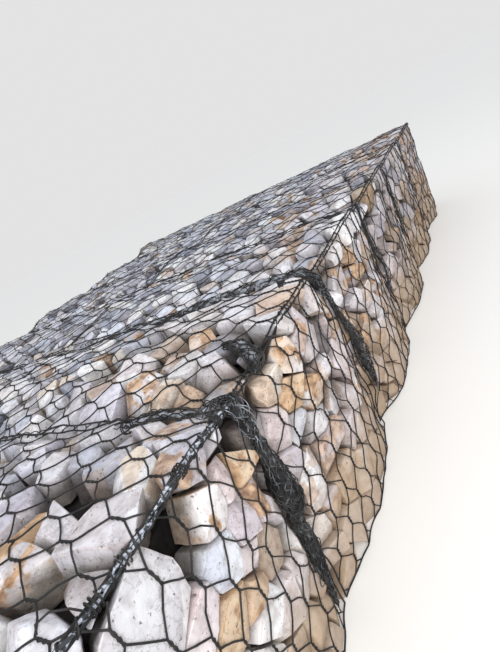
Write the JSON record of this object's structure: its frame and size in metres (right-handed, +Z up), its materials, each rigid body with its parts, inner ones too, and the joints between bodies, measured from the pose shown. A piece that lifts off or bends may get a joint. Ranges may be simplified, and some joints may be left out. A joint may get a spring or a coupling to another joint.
{
  "type": "gabion wall",
  "caption": "Free-standing gabion wall: a row of stone-filled wire baskets with hexagonal mesh, laced crests and folded joints.",
  "frame": {"origin": "on the ground under the middle of the wall", "axes": "+X along the wall, -Y is the front face, +Z is up"},
  "size_m": [6.0108, 4.1586, 1.0604],
  "materials": {
    "front_stone": "broken pale limestone, white to pink and ochre, dusty, matt",
    "rear_stone": "broken grey stone, weathered, matt",
    "mesh_wire": "dark plastic-coated zinc wire, slightly dusty",
    "edge_wire": "thicker coated edge and lacing wire, dark with scuffed zinc"
  },
  "bodies": {
    "root": {"back_frame_1": "edge_wire", "back_frame_2": "edge_wire", "back_frame_3": "edge_wire", "back_frame_4": "edge_wire", "back_frame_5": "edge_wire", "back_frame_6": "edge_wire", "crest_lacing_1": "edge_wire", "crest_lacing_2": "edge_wire", "crest_lacing_3": "edge_wire", "crest_lacing_4": "edge_wire", "crest_lacing_5": "edge_wire", "crest_lacing_6": "edge_wire", "far_end_frames": "edge_wire", "front_fill_1": "front_stone", "front_fill_2": "front_stone", "front_fill_3": "front_stone", "front_fill_4": "front_stone", "front_fill_5": "front_stone", "front_fill_6": "front_stone", "front_mesh_1": "mesh_wire", "front_mesh_2": "mesh_wire", "front_mesh_3": "mesh_wire", "front_mesh_4": "mesh_wire", "front_mesh_5": "mesh_wire", "front_mesh_6": "mesh_wire", "joint_fold_1": "mesh_wire", "joint_fold_2": "mesh_wire", "joint_fold_3": "mesh_wire", "joint_fold_4": "mesh_wire", "joint_fold_5": "mesh_wire", "lid_frames_1": "edge_wire", "lid_frames_2": "edge_wire", "lid_frames_3": "edge_wire", "lid_frames_4": "edge_wire", "lid_frames_5": "edge_wire", "lid_frames_6": "edge_wire", "near_end_frames": "edge_wire", "rear_fill_1": "rear_stone", "rear_fill_2": "rear_stone", "rear_fill_3": "rear_stone", "rear_fill_4": "rear_stone", "rear_fill_5": "rear_stone", "rear_fill_6": "rear_stone"}
  },
  "joints": []
}
